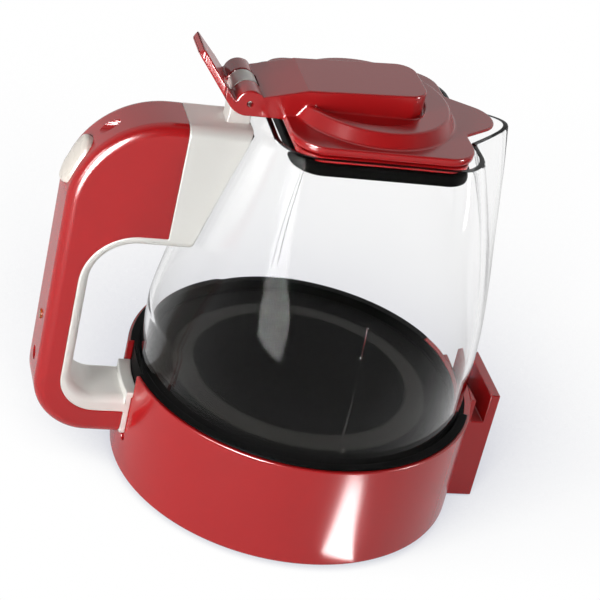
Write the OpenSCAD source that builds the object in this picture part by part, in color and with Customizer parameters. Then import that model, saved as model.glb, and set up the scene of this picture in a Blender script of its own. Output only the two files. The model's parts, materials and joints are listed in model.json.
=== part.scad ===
// Car electric kettle: glass jug on a heated base, C-shaped handle, hinged lid with a thumb lever.
// Millimetres. Origin on the jug's axis at the table, +Z up, +X towards the spout.

/* [Base] */
// Outer diameter of the base ring
base_d = 150; // [144:1:160]
// Height of the base rim above the table
base_top = 52.5; // [50:0.5:58]
// Wall of the base ring
base_wall = 3; // [2.6:0.1:3.6]
// Height of the seal's collar above the ring's rim
collar_h = 1; // [0.8:0.1:2]
// Width of the seal's collar on the ring's rim
collar_w = 1.8; // [1.2:0.1:2.4]
// Depth of the jug's seat below the rim
seat_depth = 13; // [12:0.5:15]
// Height of the rubber foot ring below the base
foot_h = 4; // [3:0.5:5]
// Distance from the base's outside to the middle of the foot ring
foot_inset = 19; // [18:0.5:25]
// Width of the foot ring
foot_w = 8; // [6:0.5:10]
// Thickness of the bottom cover
cover_t = 3; // [2.6:0.1:4]

/* [Bracket] */
// Width of the hook bracket along the rim
bracket_w = 35; // [28:1:44]
// Thickness of the bracket's outer plate
bracket_plate = 4.4; // [3.5:0.1:6]
// Width of the slot that a wall plate enters
slot_w = 6; // [5:0.1:8]
// Depth of the slot below the bracket's top
slot_depth = 14; // [10:0.5:18]
// Gap between the bracket's lower end and the table
bracket_lift = 1; // [0.5:0.5:6]

/* [Jug] */
// Height of the jug's rim above the table
jug_top = 173.8; // [168:0.2:180]
// Wall of the glass
jug_wall = 2.4; // [2.2:0.1:3]
// Gap between the jug and the base ring
jug_gap = 2; // [1.6:0.1:2.6]
// Height at which the round body starts to change to the mouth
shoulder_z = 74; // [64:1:84]
// Half length of the mouth, spout to handle
mouth_x = 43; // [41:0.5:46]
// Half width of the mouth
mouth_y = 42.5; // [41:0.5:45]
// Corner radius of the mouth
mouth_round = 16; // [14:1:18]
// Distance of the beak's tip from the jug's axis
beak_reach = 61; // [57:0.5:64]
// Half width of the beak where it leaves the mouth
beak_half = 17; // [14:0.5:20]
// Rise of the rim at the beak's tip
beak_rise = 2.4; // [1:0.1:2.8]

/* [Heater] */
// Drop of the heater plate below the rim
plate_drop = 3.5; // [2.5:0.5:4.5]
// Rise of the plate's middle
plate_rise = 1.3; // [0.6:0.1:2]
// Sheet thickness of the plate
plate_t = 1.2; // [0.8:0.1:1.6]
// Radius of the raised middle
plateau_r = 46; // [45:0.5:50]
// Radius at which the rise starts
plateau_foot_r = 55.7; // [53:0.1:58]
// Radius of the heating element's ring
element_r = 38; // [34:0.5:40]
// Radius of the element's tube
element_tube_r = 3.5; // [2.5:0.1:4]

/* [Handle] */
// Width of the handle
handle_w = 26; // [26:0.5:30]
// Distance from the base ring to the back of the handle
handle_reach = 40; // [38:0.5:48]
// Drop of the handle's top below the jug's rim
handle_drop = 6.8; // [6:0.2:9]
// Height of the handle's lower edge above the table
handle_bottom = 21; // [18:0.5:24]
// Radius of the handle's upper corner
top_round = 38; // [34:0.5:38]
// Radius of the handle's lower corner
low_round = 24.5; // [20:0.5:26]
// Radius along the handle's outer edges, which fades out towards the top
edge_round = 5; // [3:0.5:6]
// Wall of the handle shell
shell_wall = 2.4; // [2:0.1:2.8]
// Thickness of the shell at the spine
spine_t = 10; // [9.5:0.1:12]
// Thickness of the shell's lower arm
arm_t = 11.7; // [11:0.1:13]
// Height of the shell's upper arm
upper_arm_h = 50; // [48:0.5:54]
// Thickness of the liner inside the grip
liner_t = 4.4; // [3.6:0.1:5]
// Depth of the lower arm's liner
low_liner_t = 7.3; // [6.5:0.1:8]
// Inner radius of the grip's upper corner
grip_top_round = 18; // [14:0.5:20]
// Inner radius of the grip's lower corner
grip_low_round = 11.6; // [8:0.2:13]
// Thickness of the strip between the lower arm and the base
strip_t = 2.5; // [2:0.1:3.5]

/* [Button] */
// Length of the button
button_l = 21.5; // [18:0.5:24]
// Width of the button
button_w = 13.5; // [10:0.5:14]
// Height of the button above the shell
button_h = 2.6; // [2.2:0.1:3.2]
// Travel of the button
button_travel = 2; // [1.5:0.1:2]
// Angle of the button's axis above the horizontal
button_tilt = 22; // [16:1:28]
// Turns of the return spring
spring_turns = 5; // [4:1:6]
// Wire diameter of the return spring
spring_wire = 0.8; // [0.6:0.1:1]

/* [Lid] */
// Distance of the hinge pin behind the mouth
hinge_back = 8.7; // [8:0.1:10]
// Height of the hinge pin above the rim
hinge_rise = 7; // [6.6:0.1:7.6]
// Diameter of the hinge pin
pin_d = 2.6; // [2:0.1:3]
// Radius of the hinge knuckles
knuckle_r = 5.6; // [5.2:0.1:6]
// Width of the lid's arm
arm_w = 30; // [28:0.5:32]
// Width of the hinge barrel
barrel_w = 9; // [8:0.2:11]
// Thickness of the lid's flange
flange_t = 3.3; // [2.8:0.1:4]
// Inset of the flange from the mouth's outer edge
flange_inset = 3.3; // [2.8:0.1:4]
// Inset of the flange behind, at the hinge
flange_back_inset = 6; // [5:0.1:7]
// Corner radius of the flange
flange_round = 13; // [10:0.5:16]
// Angle between the spout tongue's edges and the kettle's length
tongue_slope = 34; // [28:1:40]
// Thickness of the tongue
tongue_lid_t = 1.4; // [1.2:0.1:1.6]
// Distance of the tongue's tip from the jug's axis
tongue_reach = 54; // [52:0.5:55]
// Radius of the tongue's tip
tongue_tip_r = 11.8; // [9:0.2:13]
// Radius of the dome at its foot
dome_r = 36; // [34:0.5:37]
// Height of the dome above the flange
dome_h = 5.5; // [4.8:0.1:6.2]
// Radius of the round recess in the dome
recess_r = 26.5; // [24:0.5:27]
// Offset of the recess towards the hinge
recess_back = 4; // [2:0.5:4.5]
// Depth of the recess
recess_depth = 2; // [1:0.1:2.4]
// Height of the bar above the dome
bar_rise = 8.2; // [7:0.1:9]
// Distance of the bar's front end from the jug's axis
bar_front = 20; // [16:0.5:24]
// Length of the thumb lever
lever_l = 20; // [16:0.5:24]
// Thickness of the thumb lever
lever_t = 3; // [2.5:0.1:3.6]
// Angle of the thumb lever above the horizontal
lever_tilt = 50.5; // [45:0.5:56]
// Height of the red plug under the flange
plug_h = 4; // [3.6:0.1:6]
// Height of the black seal round the plug
seal_h = 5.2; // [4.6:0.1:7]
// Gap between the lid's seal and the glass
mouth_gap = 1; // [0.8:0.1:1.6]

/* [Hidden] */
$fn = 64;
fit = 0.1;
run_fit = 0.05;
e = 0.5;

// Base levels and radii
base_r = base_d / 2;
base_in_r = base_r - base_wall;
foot_r = base_r - foot_inset;
body_top = base_top - collar_h;
shelf_z = base_top - seat_depth;
shelf_t = 2.5;
cover_top = foot_h + cover_t;
groove = 1.5;
post_d = 9;
post_r = base_in_r - post_d / 2 - 1;
post_hole = 15;
screw_r = 1.4;
head_r = 3;
head_h = 2;
cover_screw_l = 12;
low_chamfer = 1;
notch_floor = shelf_z + 0.5;
window_w = 3.6;
window_drop = 3.4;
collar_cut_angle = 24;

// Jug, seal and plate levels
jug_r = base_in_r - jug_gap;
jug_in_r = jug_r - jug_wall;
seal_t = 1.8;
mid_lip_t = 1.4;
flange_z = shelf_z + seal_t + fit;
mid_z = flange_z + plate_t + fit;
jug_foot = mid_z + mid_lip_t + fit;
plate_z = base_top - plate_drop;
plate_up_r = jug_in_r - 1.3;
plate_edge_r = jug_r - 0.8;
shelf_in = jug_r - 9;
jug_steps = 14;
jug_sides = 64;
shoulder_mean = 1.65;
shoulder_lean = 0.47;
beak_soft = 0.12;

// Heater parts under the plate
spreader_t = 2;
spreader_top = plate_z + plate_rise - plate_t - fit;
spreader_z = spreader_top - spreader_t;
element_z = spreader_z - element_tube_r - fit;
lead_clear = 2.6;
lead_y = handle_w / 2 - shell_wall - lead_clear;
lead_r = 1.3;
pin_lead_r = 1.6;
lead_z = (handle_bottom + shell_wall + handle_bottom + arm_t) / 2 - 1;
element_gap = asin(lead_y / element_r);
jumper_l = 7;
block_l = 12;
block_x = -(element_r * cos(element_gap) + pin_lead_r + jumper_l + block_l);
block_y = 28;
block_h = 13;
block_seat = 20;
block_z = lead_z - 7;
stat_r = 8.6;
stat_top_r = 8;
stat_h = 9;
ear_x = 12;
ear_w = 6;
tab_t = 0.8;
fuse_r = 2.2;
fuse_l = 14;
fuse_lead_l = 24;
inlet_z = foot_h + 19;
inlet_r = 7;
inlet_bore = 4;
inlet_pin = 1.25;
inlet_l = 14;
inlet_depth = 10;
inlet_rim = 2;
inlet_rim_t = 1.6;
inlet_step = 2.2;
inlet_run_y = 32;

// Bracket
slot_in = base_r + 0.6;
slot_out = slot_in + slot_w;
bracket_out = slot_out + bracket_plate;
bracket_top = base_top + 2;
slot_floor = bracket_top - slot_depth;
bracket_screw_y = 9;
bracket_screw_l = 10;
bracket_screw_z = (foot_h + shelf_z) / 2;
bracket_seat = sqrt(pow(base_in_r, 2) - pow(bracket_screw_y + head_r, 2)) - fit;

// Handle outline
spine_x = -(base_r + handle_reach);
handle_top = jug_top - handle_drop;
seam_x = -(base_r - 3);
grip_x = spine_x + spine_t;
grip_top = handle_top - upper_arm_h;
grip_bottom = handle_bottom + arm_t;
finger_x = grip_x + liner_t;
finger_top = grip_top - liner_t;
finger_bottom = grip_bottom + low_liner_t;
corner_x = spine_x + top_round;
corner_z = handle_top - top_round;
mount_gap = 1;
spigot_l = 6;
liner_round = 4;
hole_r = 3;
top_screw_z = handle_top - 8.8;
low_screw_z = handle_bottom + low_round + 6;
lens_z = low_screw_z + 19;
lens_r = 2;
boss_r = 4.6;
top_seat_x = spine_x + 23;
low_seat_x = spine_x + 4.4;
top_screw_l = 12;
tongue_t = 2.5;
pad_margin = 2.5;

// Button stack, measured outwards from the centre of the handle's upper corner
flange_r = 1.2;
button_flange_t = 1.4;
button_reach = button_l / 2 + flange_r;
button_flange_z = sqrt(pow(top_round - shell_wall, 2) - pow(button_reach, 2)) - 0.4 - button_flange_t;
button_top = top_round + button_h;
switch_z = 5;
switch_l = 20;
switch_gap = 1.1;
switch_w = handle_w - 2 * shell_wall - 2 * switch_gap;
switch_h = 14;
switch_top = switch_z + switch_h;
switch_tab = 6;
pedestal_w = 16;
stem_r = 2.2;
plunger_r = 1.8;
plunger_in = 4;
plunger_out = 4;
spring_r = 4;

// Lid levels
lid_z = jug_top + 0.3;
flange_top = lid_z + flange_t;
dome_top = flange_top + dome_h;
bar_top = dome_top + bar_rise;
hinge_x = -(mouth_x + hinge_back);
hinge_z = jug_top + hinge_rise;
pin_r = pin_d / 2;
flange_y = mouth_y - flange_inset;
flange_back = mouth_x - flange_back_inset;
flange_front_inset = 5;
flange_front = mouth_x - flange_front_inset;
knuckle_gap = 0.4;
arm_drop = 5.3;
arm_bottom = hinge_z - arm_drop;
pocket_back = 12;
pin_inset = 4;
post_half = 4.6;
arm_root = [4.9, 3.2];
arm_kink_x = -(mouth_x - 13.5);
arm_kink_drop = 2.4;
heel_r = 9.5;
heel_x = -0.3;
lever_back = 9.5;
lever_rise = 0.4;
lever_tip_half = 9;
lever_tip_r = 3;
dome_lean = 3.3;
bar_round = 8;
throat_y = mouth_y - jug_wall - mouth_gap;
plug_inset = 1;
neck_h = 1.3;
plug_top = lid_z - neck_h;
plug_z = lid_z - plug_h;
seal_z = plug_z - seal_h;
plug_round = flange_round - 1.5;
plug_bottom = seal_z + 0.5;
plug_floor = plug_bottom + 2.5;
seal_back = flange_back - 1.5;
seal_front = flange_front - 0.5;
seal_t_lid = 3.5;
plug_wall = 2.5;
boss_lid_r = 3.5;
lid_screw_x = 18;
lid_screw_y = 22;
lid_screw_l = 8;

// Colours
red = [0.70, 0.14, 0.15];
pale = [0.85, 0.85, 0.83];
black = [0.06, 0.06, 0.06];
steel = [0.72, 0.72, 0.70];
copper = [0.55, 0.30, 0.16];

// Shared shapes

// Extrudes an outline drawn in X and Z across the handle's plane of symmetry
module across(w) {
    rotate([90, 0, 0]) linear_extrude(w, center = true) children();
}

// Cylinder along X from x0 to x1
module rod_x(r, x0, x1) {
    translate([x0, 0, 0]) rotate([0, 90, 0]) cylinder(r = r, h = x1 - x0);
}

// Cylinder along Y, centred
module rod_y(r, l) {
    rotate([90, 0, 0]) cylinder(r = r, h = l, center = true);
}

// Ring of rectangular section
module tube(r_out, r_in, z0, z1) {
    translate([0, 0, z0]) difference() {
        cylinder(r = r_out, h = z1 - z0, $fn = 128);
        translate([0, 0, -1]) cylinder(r = r_in, h = z1 - z0 + 2, $fn = 128);
    }
}

// Outline with round corners at its left side only
module left_rounded(x0, x1, z0, z1, r_top, r_low) {
    difference() {
        translate([x0, z0]) square([x1 - x0, z1 - z0]);
        difference() {
            translate([x0 - 1, z1 - r_top]) square([r_top + 1, r_top + 1]);
            translate([x0 + r_top, z1 - r_top]) circle(r_top, $fn = 96);
        }
        difference() {
            translate([x0 - 1, z0 - 1]) square([r_low + 1, r_low + 1]);
            translate([x0 + r_low, z0 + r_low]) circle(r_low, $fn = 96);
        }
    }
}

// Rectangle with four round corners
module round_rect(x0, x1, half, r) {
    translate([x0 + r, -half]) square([x1 - x0 - 2 * r, 2 * half]);
    translate([x0, -half + r]) square([x1 - x0, 2 * half - 2 * r]);
    for (x = [x0 + r, x1 - r], y = [-half + r, half - r]) translate([x, y]) circle(r);
}

// Slot shape along X
module obround(l, w) {
    square([l - w, w], center = true);
    for (s = [-1, 1]) translate([s * (l - w) / 2, 0]) circle(d = w);
}

// Section of what a rounding takes off both edges of a slab; X points out of the slab
module edge_waste(r, w) {
    for (s = [0, 1]) mirror([0, s]) difference() {
        translate([-r, w / 2 - r]) square([r + 1, r + 1]);
        translate([-r, w / 2 - r]) circle(r + 0.02);
    }
}

// Pan-head screw along +Z, its head's seat at z = 0
module screw(l, r = screw_r) {
    translate([0, 0, -head_h]) difference() {
        cylinder(r = head_r, h = head_h);
        for (a = [0, 90]) rotate([0, 0, a]) translate([-1.8, -0.4, -1]) cube([3.6, 0.8, 2]);
    }
    cylinder(r = r, h = l);
}

// Frame of the button: +Z points out of the handle's upper corner
module at_button() {
    translate([corner_x, 0, corner_z]) rotate([0, button_tilt - 90, 0]) children();
}

// Places on the post circle of the bottom cover
module at_posts() {
    for (a = [45, 135, 225, 315]) rotate([0, 0, a]) translate([post_r, 0, 0]) children();
}

// Jug surface

// Distance of the mouth's rounded rectangle from the axis
function mouth_edge(a) = let (
    c = abs(cos(a)),
    s = abs(sin(a)),
    cx = mouth_x - mouth_round,
    cy = mouth_y - mouth_round,
    b = cx * c + cy * s
) c * cy > s * mouth_x ? mouth_x / c
    : s * cx > c * mouth_y ? mouth_y / s
    : b + sqrt(b * b - cx * cx - cy * cy + mouth_round * mouth_round);

// Distance of the beak's two straight flanks from the axis, with a soft tip
function beak_bend(a) = sqrt(pow(sin(a), 2) + pow(beak_soft, 2)) - beak_soft;
function beak_edge(a) = let (
    side = atan(beak_half / mouth_x),
    lean = cos(side) * (beak_reach / mouth_x - 1) / beak_bend(side)
) cos(a) > cos(side) ? beak_reach / (cos(a) + lean * beak_bend(a)) : 0;

function rim_edge(a) = max(mouth_edge(a), beak_edge(a));

// Height of the rim at angle a, which rises along the beak
function rim_top(a) = jug_top + beak_rise * (rim_edge(a) - mouth_edge(a)) / (beak_reach - mouth_x);

// Outer radius of the jug at angle a and height z
function jug_edge(a, z) = let (
    s = max(0, min(1, (z - shoulder_z) / (rim_top(a) - shoulder_z))),
    p = shoulder_mean + shoulder_lean * cos(a)
) jug_r + (rim_edge(a) - jug_r) * pow(s, p);

// Height of level k at angle a: the foot, then even steps from the shoulder to the rim
function jug_level(a, k) = k == 0 ? jug_foot : shoulder_z + (rim_top(a) - shoulder_z) * (k - 1) / jug_steps;

// Triangles between ring a and ring b of n points each
function band(a, b, n) = [
    for (i = [0:n - 1], t = [0, 1]) let (j = (i + 1) % n)
        t == 0 ? [a + i, b + i, b + j] : [a + i, b + j, a + j]
];

// Handle outlines

module shell_outline(in = 0) {
    left_rounded(
        spine_x + in, 0, handle_bottom + in, handle_top - in, top_round - in, low_round - in
    );
}

module grip_outline() {
    left_rounded(
        grip_x, 0, grip_bottom, grip_top, grip_top_round + liner_t, grip_low_round + liner_t
    );
}

module finger_outline() {
    left_rounded(finger_x, 1, finger_bottom, finger_top, grip_top_round, grip_low_round);
}

// Outline of the jug on the handle's side, grown by a gap, from below the mount to above it
module jug_side(gap) {
    z0 = finger_top - 10;
    z1 = handle_top + 4;
    steps = 12;
    polygon(concat(
        [for (i = [0:steps]) let (z = z0 + (z1 - z0) * i / steps) [-jug_edge(180, z) - gap, z]],
        [[0, z1], [0, z0]]
    ));
}

// What the rounding takes off the handle's outer edges; its upper bend lies higher, so it fades out
module handle_edge_waste() {
    low_x = spine_x + low_round;
    low_z = handle_bottom + low_round;
    translate([corner_x, 0, corner_z]) rotate([90, 0, 0]) rotate_extrude(angle = 90, start = 90, $fn = 96)
        translate([top_round, 0]) edge_waste(edge_round, handle_w);
    translate([low_x, 0, low_z]) rotate([90, 0, 0]) rotate_extrude(angle = 90, start = 180, $fn = 96)
        translate([low_round, 0]) edge_waste(edge_round, handle_w);
    translate([spine_x, 0, low_z]) linear_extrude(corner_z - low_z)
        mirror([1, 0]) edge_waste(edge_round, handle_w);
    translate([corner_x, 0, handle_top]) rotate([0, 90, 0]) linear_extrude(-corner_x)
        mirror([1, 0]) edge_waste(edge_round, handle_w);
    translate([low_x, 0, handle_bottom]) rotate([0, 90, 0]) linear_extrude(-low_x)
        edge_waste(edge_round, handle_w);
}

// What the rounding takes off the liner's edges round the fingers
module finger_edge_waste() {
    top_x = finger_x + grip_top_round;
    top_z = finger_top - grip_top_round;
    low_x = finger_x + grip_low_round;
    low_z = finger_bottom + grip_low_round;
    translate([top_x, 0, top_z]) rotate([90, 0, 0]) rotate_extrude(angle = 90, start = 90, $fn = 96)
        translate([grip_top_round, 0]) mirror([1, 0]) edge_waste(liner_round, handle_w);
    translate([low_x, 0, low_z]) rotate([90, 0, 0]) rotate_extrude(angle = 90, start = 180, $fn = 96)
        translate([grip_low_round, 0]) mirror([1, 0]) edge_waste(liner_round, handle_w);
    translate([finger_x, 0, low_z]) linear_extrude(top_z - low_z) edge_waste(liner_round, handle_w);
    translate([top_x, 0, finger_top]) rotate([0, 90, 0]) linear_extrude(-top_x)
        edge_waste(liner_round, handle_w);
    translate([low_x, 0, finger_bottom]) rotate([0, 90, 0]) linear_extrude(-low_x)
        mirror([1, 0]) edge_waste(liner_round, handle_w);
}

// Holes for the two wires that run from the handle into the base
module wire_holes() {
    for (s = [-1, 1]) translate([0, s * lead_y, lead_z]) rod_x(lead_r + 0.4, spine_x, -base_in_r + 8);
}

// Base

module base_ring() color(red) difference() {
    union() {
        tube(base_r, base_in_r, foot_h, body_top);
        tube(base_in_r + e, shelf_in, shelf_z - shelf_t, shelf_z);
        at_posts() translate([0, 0, cover_top]) cylinder(d = post_d, h = shelf_z - e - cover_top);
    }
    at_posts() translate([0, 0, cover_top - 1]) cylinder(r = screw_r + run_fit, h = post_hole + 1);
    // Opening over the handle's lower arm
    translate([-base_r - 1, -handle_w / 2 - 0.2, notch_floor])
        cube([base_wall + 4, handle_w + 0.4, base_top]);
    // Two round-ended windows under the lower arm
    for (s = [-1, 1])
        translate([-base_r, s * (handle_w - window_w) / 2, handle_bottom - window_drop + window_w / 2])
            rod_x(window_w / 2, -1, base_wall + 1);
    wire_holes();
    for (s = [-1, 1]) translate([0, s * bracket_screw_y, bracket_screw_z])
        rod_x(screw_r + run_fit, base_in_r - 4, base_r + 1);
    translate([0, base_r, inlet_z]) rod_y(inlet_r + fit, 20);
    // Narrow chamfer round the lower edge
    translate([0, 0, foot_h]) rotate_extrude($fn = 128) polygon([
        [base_r - 2 * low_chamfer, -low_chamfer], [base_r + low_chamfer, -low_chamfer],
        [base_r + low_chamfer, 2 * low_chamfer]
    ]);
}

module hook_bracket() color(red) difference() {
    translate([base_r - 6, -bracket_w / 2, bracket_lift])
        cube([bracket_out - base_r + 6, bracket_w, bracket_top - bracket_lift]);
    translate([0, 0, bracket_lift - 1]) cylinder(r = base_r + run_fit, h = bracket_top, $fn = 128);
    translate([slot_in, -bracket_w / 2 - 1, slot_floor]) cube([slot_w, bracket_w + 2, slot_depth + 1]);
    translate([0, -bracket_w / 2 - 1, base_top - 1]) cube([slot_out, bracket_w + 2, 9]);
    for (s = [-1, 1]) translate([0, s * bracket_screw_y, bracket_screw_z])
        rod_x(screw_r + run_fit, base_r - 1, bracket_out - 2);
}

module bracket_screws() color(steel) for (s = [-1, 1])
    translate([bracket_seat, s * bracket_screw_y, bracket_screw_z]) rotate([0, 90, 0])
        screw(bracket_screw_l);

module bottom_cover() color(black) difference() {
    union() {
        translate([0, 0, foot_h]) cylinder(r = base_in_r - fit, h = cover_t, $fn = 128);
        translate([block_x, -block_seat / 2, cover_top - e])
            cube([block_l, block_seat, block_z - cover_top + e]);
    }
    translate([0, 0, foot_h - 1]) difference() {
        cylinder(r = foot_r + foot_w / 2 + fit, h = groove + 1, $fn = 128);
        translate([0, 0, -1]) cylinder(r = foot_r - foot_w / 2 - fit, h = groove + 3, $fn = 128);
    }
    at_posts() translate([0, 0, foot_h - 1]) {
        cylinder(r = screw_r + 0.2, h = cover_t + 2);
        cylinder(r = head_r + 0.4, h = 1 + cover_t / 2);
    }
}

module foot_ring() color(black) rotate_extrude($fn = 128) translate([foot_r, 0]) polygon([
    [-foot_w / 2 + 1, 0], [foot_w / 2 - 1, 0], [foot_w / 2, 1], [foot_w / 2, foot_h + groove],
    [-foot_w / 2, foot_h + groove], [-foot_w / 2, 1]
]);

module cover_screws() color(steel) at_posts() translate([0, 0, foot_h + cover_t / 2])
    screw(cover_screw_l);

// Heater

module heater_plate() color(black) rotate_extrude($fn = 128) polygon([
    [0, spreader_top + fit], [plateau_r, spreader_top + fit],
    [plateau_foot_r, plate_z - plate_t], [plate_up_r - plate_t, plate_z - plate_t],
    [plate_up_r - plate_t, flange_z + plate_t], [shelf_in + 1.5, flange_z + plate_t],
    [shelf_in + 1.5, flange_z], [plate_edge_r, flange_z],
    [plate_edge_r, flange_z + plate_t], [plate_up_r, flange_z + plate_t],
    [plate_up_r, plate_z], [plateau_foot_r, plate_z],
    [plateau_r, plate_z + plate_rise], [0, plate_z + plate_rise]
]);

module jug_seal() color(black) difference() {
    rotate_extrude($fn = 128) polygon([
        [shelf_in + 1, shelf_z], [base_in_r - fit, shelf_z],
        [base_in_r - fit, body_top + fit], [base_in_r + collar_w, body_top + fit],
        [base_in_r + collar_w, base_top], [jug_r + fit, base_top],
        [jug_r + fit, mid_z + mid_lip_t], [jug_in_r - fit, mid_z + mid_lip_t],
        [jug_in_r - fit, plate_z + 0.2], [plate_up_r + fit, plate_z + 0.2],
        [plate_up_r + fit, mid_z], [plate_edge_r + fit, mid_z],
        [plate_edge_r + fit, shelf_z + seal_t], [shelf_in + 1, shelf_z + seal_t]
    ]);
    // The collar stops short of the bracket and of the handle's lower arm
    translate([0, 0, body_top]) {
        rotate([0, 0, -collar_cut_angle]) rotate_extrude(angle = 2 * collar_cut_angle)
            translate([jug_r, 0]) square([base_wall + jug_gap, collar_h + 1]);
        translate([-base_r - 1, -handle_w / 2 - 0.2, 0])
            cube([base_wall + jug_gap, handle_w + 0.4, collar_h + 1]);
    }
}

module heat_spreader() color(steel) translate([0, 0, spreader_z])
    cylinder(r = element_r + element_tube_r + 2, h = spreader_t, $fn = 128);

module heating_element() color(steel) translate([0, 0, element_z]) {
    rotate_extrude(angle = 360 - 2 * element_gap, start = 180 + element_gap, $fn = 96)
        translate([element_r, 0]) circle(element_tube_r, $fn = 32);
    for (s = [-1, 1]) translate([-element_r * cos(element_gap), s * lead_y, lead_z - element_z - 2])
        cylinder(r = pin_lead_r, h = element_z - lead_z + 2);
}

module thermostat() color(black) translate([0, 0, spreader_z - fit]) {
    translate([0, 0, -2]) cylinder(r = stat_top_r, h = 2);
    translate([0, 0, -stat_h]) cylinder(r = stat_r, h = stat_h - 2 + e);
    for (s = [-1, 1]) translate([s * ear_x, 0, 0]) {
        translate([-4, -ear_w / 2, -3]) cube([8, ear_w, 1]);
        translate([0, 0, -3]) cylinder(r = screw_r, h = 3);
        translate([s * (stat_r - ear_x - 4 * tab_t) - tab_t / 2, -ear_w / 2, -stat_h - 6])
            cube([tab_t, ear_w, 7]);
    }
}

module thermal_fuse() color(pale) translate([element_r / 2 + 4, 0, spreader_z - fit - fuse_r]) {
    rod_y(fuse_r, fuse_l);
    rod_y(0.5, fuse_lead_l);
    translate([-3.5, -2, 0]) cube([7, 4, fuse_r]);
}

module terminal_block() color(pale) difference() {
    translate([block_x, -block_y / 2, block_z]) cube([block_l, block_y, block_h]);
    for (s = [-1, 1]) translate([block_x + block_l / 2, s * lead_y, block_z + block_h - 3.5])
        cylinder(r = 2, h = 6);
    translate([block_x - 1, -0.8, block_z + 4]) cube([block_l + 2, 1.6, block_h]);
}

module jumper_leads() color(copper) for (s = [-1, 1]) translate([0, s * lead_y, lead_z])
    rod_x(lead_r, block_x + block_l + fit, -element_r * cos(element_gap) - pin_lead_r - fit);

module power_inlet() color(black) translate([0, base_r, inlet_z]) difference() {
    union() {
        rotate([90, 0, 0]) cylinder(r = inlet_r, h = inlet_l);
        rotate([-90, 0, 0]) cylinder(r = inlet_r + inlet_rim, h = inlet_rim_t);
    }
    rotate([90, 0, 0]) difference() {
        translate([0, 0, -inlet_rim_t - 1]) cylinder(r = inlet_bore, h = inlet_depth + inlet_rim_t + 1);
        cylinder(r = inlet_pin, h = inlet_depth + 1);
    }
}

// Leads from the inlet to the terminal block, side by side through two bends
module inlet_leads() color(copper) for (s = [-1, 1]) {
    x0 = s * inlet_step;
    x1 = block_x + block_l / 2 + s * inlet_step;
    bend = 8;
    y0 = base_r - inlet_l - fit;
    ym = inlet_run_y - s * inlet_step;
    y1 = block_y / 2 + fit;
    translate([0, 0, inlet_z]) {
        translate([x0, y0, 0]) rotate([90, 0, 0]) cylinder(r = lead_r, h = y0 - ym - bend);
        translate([x0 - bend, ym + bend, 0]) rotate_extrude(angle = 90, start = 270)
            translate([bend, 0]) circle(lead_r, $fn = 24);
        translate([0, ym, 0]) rod_x(lead_r, x1 + bend, x0 - bend);
        translate([x1 + bend, ym - bend, 0]) rotate_extrude(angle = 90, start = 90)
            translate([bend, 0]) circle(lead_r, $fn = 24);
        translate([x1, ym - bend, 0]) rotate([90, 0, 0]) cylinder(r = lead_r, h = ym - bend - y1);
    }
}

// Jug

module glass_jug() color([0.8, 0.9, 0.95, 0.4]) {
    rings = jug_steps + 2;
    n = jug_sides;
    outer = [
        for (k = [0:rings - 1], i = [0:n - 1]) let (a = i * 360 / n, z = jug_level(a, k), r = jug_edge(a, z))
            [r * cos(a), r * sin(a), z]
    ];
    inner = [
        for (k = [0:rings - 1], i = [0:n - 1])
            let (a = i * 360 / n, z = jug_level(a, k), r = jug_edge(a, z) - jug_wall)
                [r * cos(a), r * sin(a), z]
    ];
    shift = rings * n;
    polyhedron(points = concat(outer, inner), faces = concat(
        [for (k = [0:rings - 2]) each band(k * n, (k + 1) * n, n)],
        [for (k = [0:rings - 2]) each band(shift + (k + 1) * n, shift + k * n, n)],
        band((rings - 1) * n, shift + (rings - 1) * n, n),
        band(shift, 0, n)
    ));
}

// Handle

module handle_shell() color(red) difference() {
    union() {
        difference() {
            across(handle_w) difference() {
                shell_outline();
                grip_outline();
                translate([seam_x, 0]) square([base_r, handle_top + 1]);
            }
            handle_edge_waste();
            across(handle_w - 2 * shell_wall) shell_outline(shell_wall);
            cylinder(r = base_r + strip_t, h = base_top, $fn = 128);
        }
        // Screw towers behind the two deep holes
        intersection() {
            across(handle_w - 2) shell_outline(shell_wall / 2);
            union() {
                translate([0, 0, top_screw_z]) rod_x(boss_r, spine_x, top_seat_x + shell_wall);
                translate([0, 0, low_screw_z]) rod_x(boss_r, spine_x, low_seat_x + shell_wall);
            }
        }
    }
    translate([0, 0, top_screw_z]) {
        rod_x(hole_r, spine_x - 1, top_seat_x);
        rod_x(screw_r + 0.2, spine_x, top_seat_x + shell_wall + 1);
    }
    translate([0, 0, low_screw_z]) {
        rod_x(hole_r, spine_x - 1, low_seat_x);
        rod_x(screw_r + 0.2, spine_x, low_seat_x + shell_wall + 1);
    }
    translate([0, 0, lens_z]) rod_x(lens_r + fit, spine_x - 1, spine_x + shell_wall + 1);
    at_button() translate([0, 0, button_flange_z]) linear_extrude(button_top)
        obround(button_l + 0.6, button_w + 0.6);
}

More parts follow.
